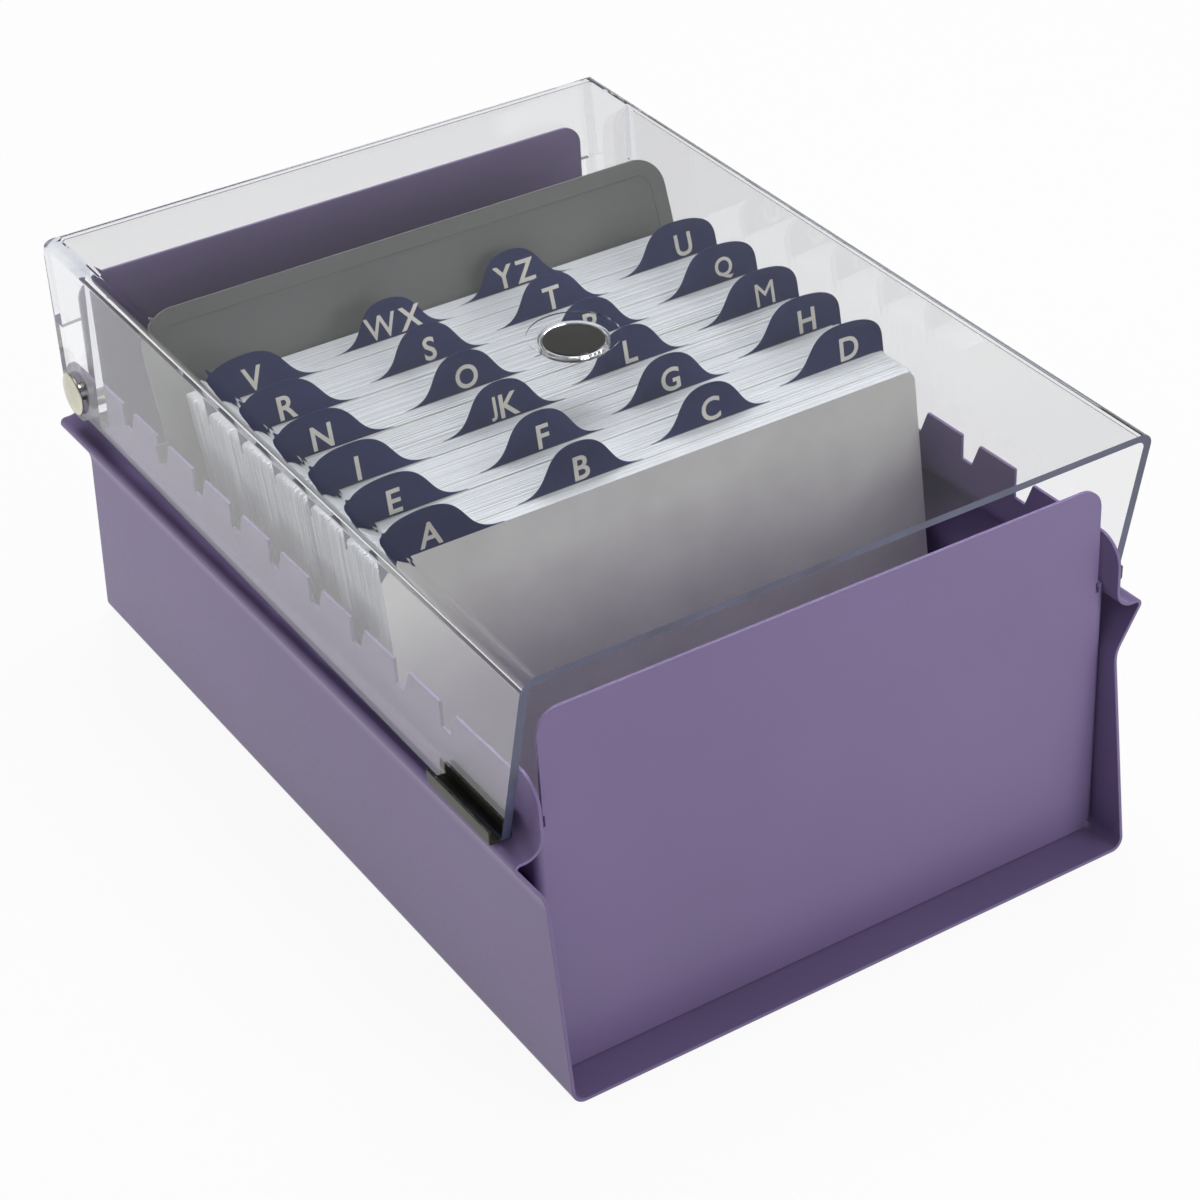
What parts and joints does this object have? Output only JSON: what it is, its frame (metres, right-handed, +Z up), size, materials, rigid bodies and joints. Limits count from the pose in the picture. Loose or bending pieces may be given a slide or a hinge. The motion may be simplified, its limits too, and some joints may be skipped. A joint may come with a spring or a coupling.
{
  "type": "index card box",
  "caption": "Folded sheet-metal card tray with end panels, slotted sides, a leaning follower plate, a deck of tabbed dividers and a clear hinged lid.",
  "frame": {"origin": "on the rest plane, under the middle of the tray", "axes": "+Z up, +Y from the open front to the hinge along the box's length, +X to the right seen from the front"},
  "size_m": [0.1826, 0.26, 0.1276],
  "materials": {
    "tray_paint": "satin",
    "clear_plastic": "polished clear",
    "magnet_metal": "satin dark grey",
    "rivet_metal": "satin plated",
    "clip_metal": "satin dark",
    "follower_paint": "satin grey",
    "divider_card": "matt, with dark tab",
    "card_paper": "matt"
  },
  "bodies": {
    "tray": {"base_channel": "tray_paint", "front_panel": "tray_paint", "back_panel": "tray_paint", "hinge_rivet_left": "rivet_metal", "hinge_rivet_right": "rivet_metal", "divider_v": "divider_card", "cards_v": "card_paper", "divider_wx": "divider_card", "cards_wx": "card_paper", "divider_yz": "divider_card", "cards_yz": "card_paper"},
    "lid": {"lid": "clear_plastic", "magnet": "magnet_metal", "lid_clip_left": "clip_metal", "lid_clip_right": "clip_metal"},
    "follower": {"follower_plate": "follower_paint"},
    "row_one": {"divider_a": "divider_card", "cards_a": "card_paper", "divider_b": "divider_card", "cards_b": "card_paper", "divider_c": "divider_card", "cards_c": "card_paper", "divider_d": "divider_card", "cards_d": "card_paper"},
    "row_two": {"divider_e": "divider_card", "cards_e": "card_paper", "divider_f": "divider_card", "cards_f": "card_paper", "divider_g": "divider_card", "cards_g": "card_paper", "divider_h": "divider_card", "cards_h": "card_paper"},
    "row_three": {"divider_i": "divider_card", "cards_i": "card_paper", "divider_jk": "divider_card", "cards_jk": "card_paper", "divider_l": "divider_card", "cards_l": "card_paper", "divider_m": "divider_card", "cards_m": "card_paper"},
    "row_four": {"divider_n": "divider_card", "cards_n": "card_paper", "divider_o": "divider_card", "cards_o": "card_paper", "divider_p": "divider_card", "cards_p": "card_paper", "divider_q": "divider_card", "cards_q": "card_paper"},
    "row_five": {"divider_r": "divider_card", "cards_r": "card_paper", "divider_s": "divider_card", "cards_s": "card_paper", "divider_t": "divider_card", "cards_t": "card_paper", "divider_u": "divider_card", "cards_u": "card_paper"}
  },
  "joints": [
    {"name": "lid_hinge", "type": "hinge", "parent": "tray", "child": "lid", "pos_m": [0, 0.1115, 0.0833], "axis": [-1, 0, 0], "range_deg": [0, 96]},
    {"name": "follower_lift", "type": "slide", "parent": "tray", "child": "follower", "axis": [0, 0.342, 0.9397], "range_m": [0, 0.0055]},
    {"name": "row_one_tilt", "type": "hinge", "parent": "tray", "child": "row_one", "pos_m": [0, -0.06087, 0.0012], "axis": [1, 0, 0], "range_deg": [0, 35]},
    {"name": "row_two_tilt", "type": "hinge", "parent": "tray", "child": "row_two", "pos_m": [0, -0.0446, 0.0012], "axis": [1, 0, 0], "range_deg": [0, 24.5]},
    {"name": "row_three_tilt", "type": "hinge", "parent": "tray", "child": "row_three", "pos_m": [0, -0.02831, 0.0012], "axis": [1, 0, 0], "range_deg": [0, 17.15]},
    {"name": "row_four_tilt", "type": "hinge", "parent": "tray", "child": "row_four", "pos_m": [0, -0.01204, 0.0012], "axis": [1, 0, 0], "range_deg": [0, 11.9]},
    {"name": "row_five_tilt", "type": "hinge", "parent": "tray", "child": "row_five", "pos_m": [0, 0.00424, 0.0012], "axis": [1, 0, 0], "range_deg": [0, 8.4]}
  ],
  "couplings": [
    {"joint": "row_two_tilt", "follows": "row_one_tilt", "ratio": 0.7},
    {"joint": "row_three_tilt", "follows": "row_one_tilt", "ratio": 0.49},
    {"joint": "row_four_tilt", "follows": "row_one_tilt", "ratio": 0.34},
    {"joint": "row_five_tilt", "follows": "row_one_tilt", "ratio": 0.24}
  ]
}
